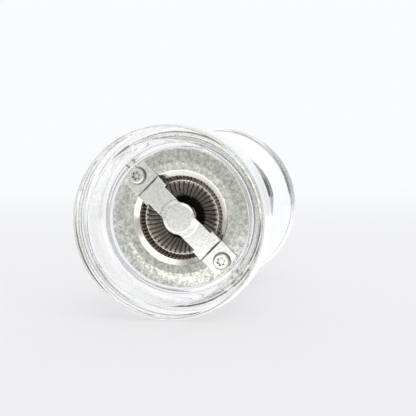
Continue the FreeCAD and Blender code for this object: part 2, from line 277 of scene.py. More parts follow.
ceiling_share = smooth_step(sky, up_part, *CEILING_EASE)
pale_share = combine(sky, "MAXIMUM", wall_share, ceiling_share)
seen_in_plastic = mix_colour(sky, pale_share, WHITE_PAPER, PALE_WALL)

ray = add_node(sky, "ShaderNodeLightPath").outputs
tone = mix_colour(sky, ray["Is Transmission Ray"], seen_in_metal, seen_in_plastic)
tone = mix_colour(sky, ray["Is Camera Ray"], tone, WHITE_PAPER)
background = add_node(sky, "ShaderNodeBackground", {"Color": tone, "Strength": 1.0})
add_node(sky, "ShaderNodeOutputWorld", {"Surface": background.outputs["Background"]})
print("sky of", len(sky.nodes), "nodes")

# %% [markdown]
# ## The sweep
# The mill lies on a sheet of white paper. In the mill's own frame that sheet is a plane beside it, parallel
# to its axis. A big disc would do, but one patch that reaches from behind the mill to past the camera is
# enough, and it leaves the other sides of the mill free to be looked at.

# %% Sheet
SHEET_GAP = 0.05 * MM
REACH_BACK = 0.95
REACH_FRONT = 0.42
HALF_WIDTH = 0.50

up_axis = np.array([0.0, 0.0, 1.0])
floor_right = unit(np.cross(up_axis, floor_normal))
floor_origin = -floor_normal * (foot_radius + SHEET_GAP)
corners = [
    floor_origin + floor_right * side * HALF_WIDTH + up_axis * along
    for side, along in ((-1, -REACH_FRONT), (1, -REACH_FRONT), (1, REACH_BACK), (-1, REACH_BACK))
]
floor_mesh = bpy.data.meshes.new("sweep")
floor_mesh.from_pydata([tuple(corner) for corner in corners], [], [(0, 1, 2, 3)])
floor_mesh.update()
if floor_mesh.polygons[0].normal.dot(tuple(floor_normal)) < 0:
    floor_mesh.flip_normals()
sweep = bpy.data.objects.new("sweep", floor_mesh)
scene.collection.objects.link(sweep)
print("sweep lies", round(foot_radius / MM, 1), "mm from the axis")

# %% [markdown]
# ## White paper
# The paper has to look white and still take the mill's shadow, so most of its tone is its own glow and the
# rest is lit. It fades out towards its edges and can't be seen from behind, so that it never hides the mill.
# Metal mirrors it with a painted pool of sunlight in its glow: bright beside the mill, painted shade towards
# the camera.

# %% Paper and its edges
PAPER_GREY = 0.86
PAPER_ROUGHNESS = 0.9
PAPER_GLOSS = 0.1
# Where each fade starts and is complete, in metres from the foot.
SIDE_FADE = (0.22, HALF_WIDTH)
FRONT_FADE = (-0.30, -REACH_FRONT)
BACK_FADE = (0.05, REACH_BACK)

sweep_material, tree, shader = start_material("white_sweep")
shader.inputs["Base Color"].default_value = grey(PAPER_GREY)
shader.inputs["Roughness"].default_value = PAPER_ROUGHNESS
shader.inputs["Specular IOR Level"].default_value = PAPER_GLOSS

place = object_place(tree)
aside = magnitude(tree, direction_part(tree, place, floor_right))
along = direction_part(tree, place, up_axis)
side_fade = smooth_step(tree, aside, *SIDE_FADE)
front_fade = smooth_step(tree, along, *FRONT_FADE)
back_fade = smooth_step(tree, along, *BACK_FADE)
faded = combine(tree, "MAXIMUM", combine(tree, "MAXIMUM", side_fade, front_fade), back_fade)
behind = add_node(tree, "ShaderNodeNewGeometry").outputs["Backfacing"]
left_out = combine(tree, "MAXIMUM", faded, behind)
print("paper fades from", SIDE_FADE[0], "m to each side")

# %% Glow of the paper
SHEET_TONE = (0.90, 0.90, 0.92, 1)
# Painted sunlight and painted shade in the glow that metal mirrors; no lamp makes them.
PAINTED_SUN_TONE = (0.99, 0.985, 0.965, 1)
SHEET_STRENGTH = 1.0
BENT_STRENGTH = 1.16
PAINTED_SHADE_STRENGTH = 0.9
PAINTED_SUN_STRENGTH = 1.65
PAINTED_SUN_EASE = (-0.26, -0.08)
GLOW_SHARE = 0.72
MIRRORED_GLOW_SHARE = 0.95

ray = add_node(tree, "ShaderNodeLightPath").outputs
not_bent = combine(tree, "SUBTRACT", 1.0, ray["Is Transmission Ray"])
on_metal = combine(tree, "MULTIPLY", ray["Is Glossy Ray"], not_bent)
glow_tone = mix_colour(tree, on_metal, SHEET_TONE, PAINTED_SUN_TONE)
plain_strength = blend(tree, ray["Is Transmission Ray"], SHEET_STRENGTH, BENT_STRENGTH)
# Painted pool of sunlight beside the mill, fading to painted shade towards the camera.
metal_strength = blend(tree, smooth_step(tree, along, *PAINTED_SUN_EASE), PAINTED_SHADE_STRENGTH, PAINTED_SUN_STRENGTH)
strength = blend(tree, on_metal, plain_strength, metal_strength)
glow = add_node(tree, "ShaderNodeEmission", {"Color": glow_tone, "Strength": strength})
mirrored = combine(tree, "MAXIMUM", ray["Is Glossy Ray"], ray["Is Transmission Ray"])
glow_share = blend(tree, mirrored, GLOW_SHARE, MIRRORED_GLOW_SHARE)

lifted = add_node(tree, "ShaderNodeMixShader", {
    0: glow_share, 1: shader.outputs["BSDF"], 2: glow.outputs["Emission"],
})
see_through = add_node(tree, "ShaderNodeBsdfTransparent")
mixed = add_node(tree, "ShaderNodeMixShader", {
    0: left_out, 1: lifted.outputs[0], 2: see_through.outputs["BSDF"],
})
output = next(node for node in tree.nodes if node.type == "OUTPUT_MATERIAL")
tree.links.new(mixed.outputs[0], output.inputs["Surface"])
floor_mesh.materials.append(sweep_material)
print("paper of", len(tree.nodes), "nodes")


# %% [markdown]
# ## Outlines
# The clear shells are turned forms: one outline carried round the axis. Such an outline is mostly straight
# runs with rounded corners, as a draughtsman would draw it, so it is written as corners with a rounding each.

# %% Rounded outline
ARC_STEPS = 10
RUN_END = 0.12 * MM


def straight_run(start, end):
    """Inner points of a straight run: one close to each end, so that shading stays flat between them."""
    length = np.linalg.norm(end - start)
    if length < 4 * RUN_END:
        return np.empty((0, 2))
    share = np.array([RUN_END / length, 0.5, 1 - RUN_END / length])[:, None]
    return start + (end - start) * share


def corner_arc(before, here, after, rounding):
    """Tangent arc at a corner.

    It meets both legs at rounding / tan(half the corner) from the corner, and its centre lies
    rounding / sin(half) along the bisector.
    """
    back = unit(before - here)
    ahead = unit(after - here)
    half = math.acos(np.clip(back.dot(ahead), -1, 1)) / 2
    centre = here + unit(back + ahead) * rounding / math.sin(half)
    start = here + back * rounding / math.tan(half) - centre
    end = here + ahead * rounding / math.tan(half) - centre
    share = np.linspace(0, 1, ARC_STEPS + 1)[:, None]
    span = math.pi - 2 * half
    arc = (np.sin((1 - share) * span) * start + np.sin(share * span) * end) / math.sin(span)
    return centre + arc


def rounded_outline(corners):
    """Points along an open row of corners (radius, height, rounding), from the first to the last."""
    points = np.array([corner[:2] for corner in corners])
    pieces = [
        corner_arc(points[i - 1], points[i], points[i + 1], rounding) if rounding else points[i][None]
        for i, (_, _, rounding) in enumerate(corners)
    ]
    joined = [pieces[0]]
    for piece in pieces[1:]:
        joined += [straight_run(joined[-1][-1], piece[0]), piece]
    return np.concatenate(joined)


# %% [markdown]
# ## The bell curve
# Between foot and waist, and again between waist and rim, the mill's side is a smooth flare. A cubic curve
# with a pull at each end has just the freedom such a flare needs, and a short arc leads into it.

# %% Bell outline
BELL_STEPS = 48
SHOULDER_POINTS = 10


def bell_outline(wide, wide_height, narrow, narrow_height, rounding, turn, wide_pull, narrow_pull):
    """Shoulder arc off a straight wall, then a cubic curve that meets the waist upright.

    The curve's four poles are the arc's end, a pull along its heading, a pull along the axis
    from the waist, and the waist itself.
    """
    up = math.copysign(1, narrow_height - wide_height)
    angle = np.linspace(0, math.radians(turn), SHOULDER_POINTS)
    arc_radius = wide - rounding * (1 - np.cos(angle))
    arc_height = wide_height + up * rounding * np.sin(angle)
    arc = np.stack([arc_radius, arc_height], axis=1)
    heading = np.array([-math.sin(angle[-1]), up * math.cos(angle[-1])])
    waist = np.array([narrow, narrow_height])
    poles = np.array([arc[-1], arc[-1] + heading * wide_pull, waist - np.array([0, up * narrow_pull]), waist])
    t = np.linspace(0, 1, BELL_STEPS)[1:, None]
    weights = np.concatenate([(1 - t) ** 3, 3 * t * (1 - t) ** 2, 3 * t ** 2 * (1 - t), t ** 3], axis=1)
    return np.concatenate([arc, weights @ poles])


# %% [markdown]
# ## The lathe
# A spin modifier could carry an outline round the axis, but worked out as one grid of points the surface
# is exact, closed at its seam, and fine enough for light to bend smoothly through it.

# %% Lathe
TURN_SEGMENTS = 224
SAME_POINT = 1e-7
SHARP_ANGLE = math.radians(28)


def finish_mesh(name, mesh):
    """Turn the faces outwards, shade them smooth up to a sharp angle, and make the object."""
    shape = bmesh.new()
    shape.from_mesh(mesh)
    bmesh.ops.remove_doubles(shape, verts=shape.verts, dist=SAME_POINT)
    bmesh.ops.recalc_face_normals(shape, faces=shape.faces)
    shape.to_mesh(mesh)
    shape.free()
    mesh.polygons.foreach_set("use_smooth", np.ones(len(mesh.polygons), dtype=bool))
    mesh.set_sharp_from_angle(angle=SHARP_ANGLE)
    mesh.update()
    piece = bpy.data.objects.new(name, mesh)
    scene.collection.objects.link(piece)
    print(name, "has", len(mesh.polygons), "faces")
    return piece


def lathe(name, outline):
    """Closed turned surface: point (radius, height) at angle a goes to (r cos a, r sin a, h).

    The grid wraps both ways, round the axis and along the closed outline.
    """
    keep = np.linalg.norm(outline - np.roll(outline, 1, axis=0), axis=1) > SAME_POINT
    outline = outline[keep]
    rows = len(outline)
    angle = np.linspace(0, 2 * np.pi, TURN_SEGMENTS, endpoint=False)
    radius, height = outline.T
    grid = np.stack([
        np.outer(radius, np.cos(angle)),
        np.outer(radius, np.sin(angle)),
        np.repeat(height[:, None], TURN_SEGMENTS, axis=1),
    ], axis=-1)
    index = np.arange(rows * TURN_SEGMENTS).reshape(rows, TURN_SEGMENTS)
    nearer = np.roll(index, -1, axis=0)
    quads = np.stack([index, np.roll(index, -1, axis=1), np.roll(nearer, -1, axis=1), nearer], axis=-1)
    mesh = bpy.data.meshes.new(name)
    mesh.from_pydata(grid.reshape(-1, 3), [], quads.reshape(-1, 4))
    return finish_mesh(name, mesh)


# %% [markdown]
# ## The clear body
# The lower half is one piece of acrylic: a foot with a deep recess under it, a pocket that seats
# the base plate, a counterbore for the ring burr and a chamber for the peppercorns.
# It is turned from the same outline as the solid in the frame. Where metal lies against it, a hair of air
# is left between them, as there is in real contact: light that leaves the plastic must meet the metal's face.

# %% Body sizes
foot_wall = 5.2 * MM
recess_draft = 0.3 * MM
recess_depth = 17.4 * MM
recess_ledge = 1.5 * MM
pocket_chamfer = 0.2 * MM
pocket_depth = 2.5 * MM
ring_clearance = 0.3 * MM
ring_seat = 2.2 * MM
neck_wall = 4.5 * MM
waist_land = 4.0 * MM
foot_band_height = 13.0 * MM
foot_taper = 0.4 * MM
foot_taper_height = 6.0 * MM
air_gap = 0.03 * MM

mouth_radius = foot_radius - foot_wall
recess_radius = mouth_radius - recess_draft
pocket_radius = recess_radius - recess_ledge - pocket_chamfer
pocket_floor = recess_depth + pocket_depth + air_gap
counterbore_top = ring_top + air_gap
chamber_radius = ring_radius - ring_seat
counterbore_radius = ring_radius + ring_clearance
waist_radius = chamber_radius + neck_wall
print("recess", round(recess_radius / MM, 2), "mm in radius, waist", round(waist_radius / MM, 2), "mm")

# %% Body outline
fine_round = 0.15 * MM
bore_round = 0.4 * MM
waist_round = 0.8 * MM
mouth_round = 0.6 * MM
foot_round = 1.0 * MM
taper_round = 8.0 * MM
body_shoulder = 2.0 * MM
body_shoulder_turn = 52.0
body_foot_pull = 9.0 * MM
body_waist_pull = 22.0 * MM

body_wall = rounded_outline([
    (waist_radius, body_height - waist_land, 0),
    (waist_radius, body_height, waist_round),
    (chamber_radius, body_height, bore_round),
    (chamber_radius, counterbore_top, fine_round),
    (counterbore_radius, counterbore_top, fine_round),
    (counterbore_radius, pocket_floor, fine_round),
    (pocket_radius, pocket_floor, fine_round),
    (pocket_radius, recess_depth + pocket_chamfer, fine_round),
    (pocket_radius + pocket_chamfer, recess_depth, fine_round),
    (recess_radius, recess_depth, bore_round),
    (mouth_radius, 0, mouth_round),
    (foot_radius - foot_taper, 0, foot_round),
    (foot_radius, foot_taper_height, taper_round),
    (foot_radius, foot_band_height, 0),
])
body_flare = bell_outline(
    foot_radius, foot_band_height, waist_radius, body_height - waist_land,
    body_shoulder, body_shoulder_turn, body_foot_pull, body_waist_pull,
)
clear_body = lathe("clear_body", np.concatenate([body_wall, body_flare]))
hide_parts("body")
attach(clear_body, "body")

# %% [markdown]
# ## The clear head
# The upper half flares out again to a rim, with a spigot below that turns in the body's chamber.
# It is the same kind of piece, so it is turned the same way.

# %% Head outline
seat_gap = 0.1 * MM
spigot_clearance = 0.35 * MM
shaft_bore_radius = 4.289 * MM
rim_band_height = 6.0 * MM
dome_rise = 4.6 * MM
knob_seat_width = 5.4 * MM
head_land = 4.0 * MM
spigot_round = 0.5 * MM
rim_round = 6.0 * MM
dome_round = 14.0 * MM
head_shoulder = 7.0 * MM
head_shoulder_turn = 80.0
head_rim_pull = 3.5 * MM
head_waist_pull = 16.0 * MM

head_base = body_height + seat_gap
spigot_radius = chamber_radius - spigot_clearance
stem_foot = spigot_foot + air_gap
rim_top = knob_seat - dome_rise
rim_low = rim_top - rim_band_height

head_stem = rounded_outline([
    (shaft_bore_radius, knob_seat, 0),
    (shaft_bore_radius, stem_foot, bore_round),
    (spigot_radius, stem_foot, spigot_round),
    (spigot_radius, head_base, fine_round),
    (waist_radius, head_base, waist_round),
    (waist_radius, head_base + head_land, 0),
])
head_flare = bell_outline(
    rim_radius, rim_low, waist_radius, head_base + head_land,
    head_shoulder, head_shoulder_turn, head_rim_pull, head_waist_pull,
)[::-1]
head_crown = rounded_outline([
    (rim_radius, rim_low, 0),
    (rim_radius, rim_top, rim_round),
    (shaft_bore_radius + knob_seat_width, knob_seat, dome_round),
    (shaft_bore_radius, knob_seat, 0),
])
clear_head = lathe("clear_head", np.concatenate([head_stem, head_flare, head_crown]))
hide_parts("head")
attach(clear_head, "head")

# %% [markdown]
# ## Clear acrylic
# Polished acrylic bends light a little less than window glass and is almost free of colour.
# What tells it from a computer's perfect glass is handling: hairline scratches and a faint ripple
# from the mould. Both are far too small to see as shapes, so they go into roughness and bump.

# %% Acrylic
ACRYLIC_TINT = (0.995, 0.997, 1.0, 1)
ACRYLIC_IOR = 1.49
RIPPLE_SCALE = 90.0
RIPPLE_STRENGTH = 0.002
RIPPLE_DEPTH = 0.4 * MM
SCRATCH_TURN = (0.5, 0.3, 0.9)
SCRATCH_SQUEEZE = (900, 60, 900)
SCUFF_RANGE = (0.62, 0.8)
SCUFF_ROUGHNESS = 0.006

acrylic, tree, shader = start_material("clear_acrylic")
shader.inputs["Base Color"].default_value = ACRYLIC_TINT
shader.inputs["IOR"].default_value = ACRYLIC_IOR
shader.inputs["Transmission Weight"].default_value = 1.0
place = object_place(tree)
ripple = add_node(tree, "ShaderNodeTexNoise", {"Vector": place, "Scale": RIPPLE_SCALE, "Detail": 1.0})
scratch_map = add_node(tree, "ShaderNodeMapping", {
    "Vector": place, "Rotation": SCRATCH_TURN, "Scale": SCRATCH_SQUEEZE,
})
scratches = add_node(tree, "ShaderNodeTexNoise", {
    "Vector": scratch_map.outputs["Vector"], "Scale": 1.0, "Detail": 3.0,
})
scuff = add_node(tree, "ShaderNodeMapRange", {
    "Value": scratches.outputs["Fac"], "From Min": SCUFF_RANGE[0], "From Max": SCUFF_RANGE[1],
    "To Min": 0.0, "To Max": SCUFF_ROUGHNESS,
})
tree.links.new(scuff.outputs["Result"], shader.inputs["Roughness"])
bump = add_node(tree, "ShaderNodeBump", {
    "Strength": RIPPLE_STRENGTH, "Distance": RIPPLE_DEPTH, "Height": ripple.outputs["Fac"],
})
tree.links.new(bump.outputs["Normal"], shader.inputs["Normal"])
for piece in (clear_body, clear_head):
    piece.data.materials.append(acrylic)
    print(piece.name, "is finished in", acrylic.name)

# %% [markdown]
# ## Metal grain
# All the metals here have blotches where the plating or the steel took the light differently, a finer
# grain, and a little relief. Painting them by hand would need a picture for each; noise at two sizes,
# made once in a group, lets each metal pick its colours and how strongly they show.

# %% Metal grain group
GRAIN_SHARE = 0.5
TONE_EASE = (0.50, 1.0)
GLOSS_RANGE = (0.55, 0.95)

grain_group, start, end = start_group(
    "metal_grain",
    {
        "Light Colour": grey(0.7), "Dark Colour": grey(0.5), "Blotch Size": 1.5, "Grain Size": 0.3,
        "Low Roughness": 0.25, "High Roughness": 0.45,
    },
    {"Colour": "NodeSocketColor", "Roughness": "NodeSocketFloat", "Height": "NodeSocketFloat"},
)
place = object_place(grain_group)
blotches = add_node(grain_group, "ShaderNodeTexNoise", {
    "Vector": place, "Scale": combine(grain_group, "DIVIDE", MM_PER_METRE, start["Blotch Size"]),
    "Detail": 3.0, "Roughness": 0.6, "Distortion": 0.6,
}).outputs["Fac"]
grain = add_node(grain_group, "ShaderNodeTexNoise", {
    "Vector": place, "Scale": combine(grain_group, "DIVIDE", MM_PER_METRE, start["Grain Size"]),
    "Detail": 2.0,
}).outputs["Fac"]
both = combine(grain_group, "ADD", blotches, combine(grain_group, "MULTIPLY", grain, GRAIN_SHARE))
light_share = smooth_step(grain_group, both, *TONE_EASE)
colour = mix_colour(grain_group, light_share, start["Dark Colour"], start["Light Colour"])
rough = add_node(grain_group, "ShaderNodeMapRange", {
    "Value": both, "From Min": GLOSS_RANGE[0], "From Max": GLOSS_RANGE[1],
    "To Min": start["High Roughness"], "To Max": start["Low Roughness"],
})
grain_group.links.new(colour, end["Colour"])
grain_group.links.new(rough.outputs["Result"], end["Roughness"])
grain_group.links.new(both, end["Height"])
print("metal_grain has", len(grain_group.nodes), "nodes")

# %% [markdown]
# ## Dirt and painted shade in the grooves
# Ground pepper and oil settle wherever a cloth can't reach, and shade falls there too: between teeth, in a
# screw's recess, in the corner of a bend. Ambient occlusion finds those places from the piece's own shape,
# so one small group gives every metal its dark corners: dirt and painted shade.

# %% Groove dirt and shade group
SHELTER_SAMPLES = 8
OPEN_EASE = (0.25, 0.85)

dirt_and_shade_group, start, end = start_group(
    "groove_dirt_and_shade", {"Reach": 0.5, "Amount": 0.8}, {"Mask": "NodeSocketFloat"},
)
reach = combine(dirt_and_shade_group, "MULTIPLY", start["Reach"], MM)
# Ambient occlusion darkens sheltered corners: painted shade, together with dirt.
shelter = add_node(dirt_and_shade_group, "ShaderNodeAmbientOcclusion", {"Distance": reach},
                   samples=SHELTER_SAMPLES, only_local=True)
open_share = smooth_step(dirt_and_shade_group, shelter.outputs["AO"], *OPEN_EASE)
closed_share = combine(dirt_and_shade_group, "SUBTRACT", 1.0, open_share)
dirt_and_shade_group.links.new(combine(dirt_and_shade_group, "MULTIPLY", closed_share, start["Amount"]), end["Mask"])
print("groove_dirt_and_shade has", len(dirt_and_shade_group.nodes), "nodes")

# %% [markdown]
# ## Bright edges
# Where a pressed or turned piece has an edge, the plating is rubbed bright, and a painted highlight stands
# for the light its rounded edge catches. The same node, looking inwards instead of outwards, finds edges:
# there another face lies close behind the surface.

# %% Edge wear and highlight group
EDGE_EASE = (0.9, 0.5)

edge_wear_and_highlight_group, start, end = start_group(
    "edge_wear_and_highlight", {"Width": 0.3, "Amount": 0.8}, {"Mask": "NodeSocketFloat"},
)
width = combine(edge_wear_and_highlight_group, "MULTIPLY", start["Width"], MM)
backing = add_node(edge_wear_and_highlight_group, "ShaderNodeAmbientOcclusion", {"Distance": width},
                   samples=SHELTER_SAMPLES, inside=True, only_local=True)
thin_share = smooth_step(edge_wear_and_highlight_group, backing.outputs["AO"], *EDGE_EASE)
edge_wear_and_highlight_group.links.new(combine(edge_wear_and_highlight_group, "MULTIPLY", thin_share, start["Amount"]), end["Mask"])
print("edge_wear_and_highlight has", len(edge_wear_and_highlight_group.nodes), "nodes")

# %% [markdown]
# ## One recipe for every metal
# Zinc, nickel, hardened steel and aluminium differ in colour, gloss and dirt, and hardly in kind. So one
# function builds them all: grain gives the colour, dirt and painted shade darken its grooves, wear and a
# painted highlight brighten the edges, and the grain's height makes a slight relief.

# %% Metal finish
# Colour of rubbed edges, which also serves as a painted highlight.
RUBBED_EDGE_AND_HIGHLIGHT = (0.97, 0.965, 0.94, 1)
RELIEF_DEPTH = 0.05 * MM


def metal(name, light, dark, sizes, roughness, relief, dirt_and_shade, edge):
    """A metal from the three groups.

    Two colours, (blotch, grain) sizes in millimetres, a (low, high) roughness, a relief,
    (colour, reach in millimetres, amount) of the dirt and painted shade in its grooves, and
    (width in millimetres, amount) of its rubbed edges and painted highlight.
    """
    material, tree, shader = start_material(name)
    shader.inputs["Metallic"].default_value = 1.0
    grain = add_node(tree, "ShaderNodeGroup", node_tree=grain_group)
    grain.inputs["Light Colour"].default_value = (*light, 1)
    grain.inputs["Dark Colour"].default_value = (*dark, 1)
    grain.inputs["Blotch Size"].default_value, grain.inputs["Grain Size"].default_value = sizes
    grain.inputs["Low Roughness"].default_value, grain.inputs["High Roughness"].default_value = roughness
    dirt_and_shade_colour, reach, amount = dirt_and_shade
    grooves = add_node(tree, "ShaderNodeGroup", node_tree=dirt_and_shade_group)
    grooves.inputs["Reach"].default_value = reach
    grooves.inputs["Amount"].default_value = amount
    # Dirt and painted shade darken the grain's colour in the grooves.
    dirtied_and_shaded = mix_colour(tree, grooves.outputs["Mask"], grain.outputs["Colour"], (*dirt_and_shade_colour, 1))
    edges = add_node(tree, "ShaderNodeGroup", node_tree=edge_wear_and_highlight_group)
    edges.inputs["Width"].default_value, edges.inputs["Amount"].default_value = edge
    # Worn edges and a painted highlight brighten the colour.
    rubbed_and_highlit = mix_colour(tree, edges.outputs["Mask"], dirtied_and_shaded, RUBBED_EDGE_AND_HIGHLIGHT)
    tree.links.new(rubbed_and_highlit, shader.inputs["Base Color"])
    tree.links.new(grain.outputs["Roughness"], shader.inputs["Roughness"])
    bump = add_node(tree, "ShaderNodeBump", {
        "Strength": relief, "Distance": RELIEF_DEPTH, "Height": grain.outputs["Height"],
    }, name="relief")
    tree.links.new(bump.outputs["Normal"], shader.inputs["Normal"])
    print(name, "has", len(tree.nodes), "nodes")
    return material


# %% [markdown]
# ## The metals
# The plate is zinc, mottled grey-green; the strap over it is brighter. Both burrs are brown hardened steel,
# the screws nickel. The drive plate, the shaft and the knob, which the foot hides, are stainless
# steel, aluminium and polished steel.

# %% Mix the metals
# Dark colours for dirt and painted shade: in the grooves, along the flute roots, in the bends and round the
# screws.
BROWN_DIRT_AND_SHADE = (0.05, 0.04, 0.03)
GREY_DIRT_AND_SHADE = (0.16, 0.15, 0.13)

plate_zinc = metal(
    "plate_zinc", light=(0.83, 0.845, 0.79), dark=(0.36, 0.375, 0.335), sizes=(1.2, 0.32),
    roughness=(0.11, 0.24), relief=0.025, dirt_and_shade=(GREY_DIRT_AND_SHADE, 0.6, 0.6), edge=(0.2, 0.5),
)
bridge_zinc = metal(
    "bridge_zinc", light=(1.0, 1.0, 0.97), dark=(0.68, 0.685, 0.655), sizes=(0.8, 0.26),
    roughness=(0.10, 0.22), relief=0.04, dirt_and_shade=(GREY_DIRT_AND_SHADE, 0.5, 0.7), edge=(0.35, 1.0),
)
ring_steel = metal(
    "ring_burr_steel", light=(0.42, 0.36, 0.28), dark=(0.22, 0.185, 0.14), sizes=(0.9, 0.2),
    roughness=(0.3, 0.5), relief=0.3, dirt_and_shade=(BROWN_DIRT_AND_SHADE, 0.5, 0.7), edge=(0.15, 0.5),
)
male_steel = metal(
    "male_burr_steel", light=(0.50, 0.475, 0.425), dark=(0.32, 0.305, 0.27), sizes=(0.9, 0.2),
    roughness=(0.3, 0.48), relief=0.3, dirt_and_shade=(BROWN_DIRT_AND_SHADE, 0.5, 0.95), edge=(0.15, 0.15),
)
nickel = metal(
    "nickel_plate", light=(0.88, 0.86, 0.82), dark=(0.72, 0.70, 0.66), sizes=(0.8, 0.15),
    roughness=(0.10, 0.22), relief=0.1, dirt_and_shade=(BROWN_DIRT_AND_SHADE, 1.2, 0.9), edge=(0.15, 0.6),
)
stainless = metal(
    "stamped_stainless", light=(0.74, 0.74, 0.74), dark=(0.62, 0.62, 0.62), sizes=(1.5, 0.25),
    roughness=(0.25, 0.4), relief=0.2, dirt_and_shade=(GREY_DIRT_AND_SHADE, 0.5, 0.5), edge=(0.2, 0.6),
)
aluminium = metal(
    "drawn_aluminium", light=(0.74, 0.74, 0.75), dark=(0.60, 0.60, 0.62), sizes=(1.0, 0.2),
    roughness=(0.25, 0.4), relief=0.15, dirt_and_shade=(GREY_DIRT_AND_SHADE, 0.5, 0.5), edge=(0.2, 0.6),
)
polished = metal(
    "polished_steel", light=(0.66, 0.66, 0.67), dark=(0.58, 0.58, 0.59), sizes=(2.0, 0.2),
    roughness=(0.08, 0.16), relief=0.05, dirt_and_shade=(GREY_DIRT_AND_SHADE, 0.5, 0.5), edge=(0.2, 0.6),
)

# %% [markdown]
# ## Flutes of the dish
# The cone's hollow underside is cut with forty-four shallow flutes, and a line of painted shade darkens each
# one along its root, where the steep flank lies in shade. The roots turn slowly with height, so the lines
# come from the angle round the axis.

# %% Flute shade line group
HALF_PITCH = 0.5

flute_shade_group, start, end = start_group(
    "flute_shade_lines",
    {
        "Count": 44.0, "Foot Height": 0.0, "Turn Per Height": 0.0,
        "Rim Radius": 11.5, "Slope": 1.5, "Width": 0.15,
    },
    {"Mask": "NodeSocketFloat", "In Dish": "NodeSocketFloat"},
)
place = object_place(flute_shade_group)
part = add_node(flute_shade_group, "ShaderNodeSeparateXYZ", {"Vector": place}).outputs
angle = combine(flute_shade_group, "ARCTAN2", part["Y"], part["X"])
height = combine(flute_shade_group, "MULTIPLY", part["Z"], MM_PER_METRE)
rise = combine(flute_shade_group, "SUBTRACT", height, start["Foot Height"])
lean = combine(flute_shade_group, "MULTIPLY", rise, start["Turn Per Height"])
turns = combine(flute_shade_group, "DIVIDE", combine(flute_shade_group, "SUBTRACT", angle, lean), 2 * math.pi)
pitches = combine(flute_shade_group, "MULTIPLY", turns, start["Count"])
off_root = combine(flute_shade_group, "PINGPONG", pitches, HALF_PITCH)
line = smooth_step(flute_shade_group, off_root, start["Width"], 0.0)
# Inside the dish, radius and rise add up to less than the cone's own line.
radius = combine(flute_shade_group, "MULTIPLY", axis_distance(flute_shade_group, place), MM_PER_METRE)
cone_reach = combine(flute_shade_group, "ADD", radius, combine(flute_shade_group, "MULTIPLY", rise, start["Slope"]))
in_dish = combine(flute_shade_group, "LESS_THAN", cone_reach, start["Rim Radius"])
flute_shade_group.links.new(combine(flute_shade_group, "MULTIPLY", line, in_dish), end["Mask"])
flute_shade_group.links.new(in_dish, end["In Dish"])
print("flute_shade_lines has", len(flute_shade_group.nodes), "nodes")

# %% [markdown]
# ## Lines on the cone
# The group's painted shade lines go on top of the cone's steel. Outside the dish the steel's colour is
# multiplied down to a darker tone; inside it stays as it is.

# %% Flute shade lines
FLUTE_COUNT = 44.0
FLUTE_FOOT_HEIGHT = 21.86
FLUTE_TURN = math.radians(-4.0)
FLUTE_RISE = 3.2
FLUTE_LINE_WIDTH = 0.30
OUTSIDE_DISH_TONE = (0.55, 0.52, 0.48, 1)


def base_colour(material):
    """A metal's colour input, and what feeds it so far."""
    socket = material.node_tree.nodes["Principled BSDF"].inputs["Base Color"]
    return socket, socket.links[0].from_socket


def repaint(material, mask, colour):
    """Blend a metal's colour towards another where the mask is 1."""
    tree = material.node_tree
    socket, before = base_colour(material)
    tree.links.new(mix_colour(tree, mask, before, (*colour, 1)), socket)


tree = male_steel.node_tree
flute_shade = add_node(tree, "ShaderNodeGroup", {
    "Count": FLUTE_COUNT, "Foot Height": FLUTE_FOOT_HEIGHT,
    "Turn Per Height": FLUTE_TURN / FLUTE_RISE, "Width": FLUTE_LINE_WIDTH,
}, node_tree=flute_shade_group)
# Painted shade along each flute's root.
repaint(male_steel, flute_shade.outputs["Mask"], BROWN_DIRT_AND_SHADE)
socket, shade_lined = base_colour(male_steel)
# Darker outside the dish.
darkened_outside = add_node(tree, "ShaderNodeMix", {"Factor": 1.0, 6: shade_lined, 7: OUTSIDE_DISH_TONE},
                 data_type="RGBA", blend_type="MULTIPLY").outputs[2]
tree.links.new(mix_colour(tree, flute_shade.outputs["In Dish"], darkened_outside, shade_lined), socket)
print(int(FLUTE_COUNT), "flute lines in", male_steel.name)

# %% [markdown]
# ## Creases of the bridge
# The strap is joggled: each arm steps down to its pad through a short bend, and a line of painted shade
# darkens the corner of that bend. The bends lie at one distance to each side, so a line in X draws both.

# %% Bend lines
BEND_MIDDLE = 13.9
BEND_EASE = (0.40, 0.05)
CREASE_SHADE_AMOUNT = 0.88

tree = bridge_zinc.node_tree
across = combine(tree, "MULTIPLY", direction_part(tree, object_place(tree), (1, 0, 0)), MM_PER_METRE)
from_bend = combine(tree, "SUBTRACT", magnitude(tree, across), BEND_MIDDLE)
line = smooth_step(tree, magnitude(tree, from_bend), *BEND_EASE)
# Painted shade along both bends.
repaint(bridge_zinc, combine(tree, "MULTIPLY", line, CREASE_SHADE_AMOUNT), GREY_DIRT_AND_SHADE)
print("creases", BEND_MIDDLE, "mm to each side of the axis")

# %% [markdown]
# ## Painted shadow round the screws
# Where a screw's head meets the strap, a thin ring of painted shadow darkens the corner.
# It is drawn on both pieces, from the distance to the screw's own axis.

# %% Screw shadow ring group
screw_corner = node_box("bridge_screws")[1] / MM
screw_head_radius = screw_corner[1]
screw_spread = screw_corner[0] - screw_head_radius

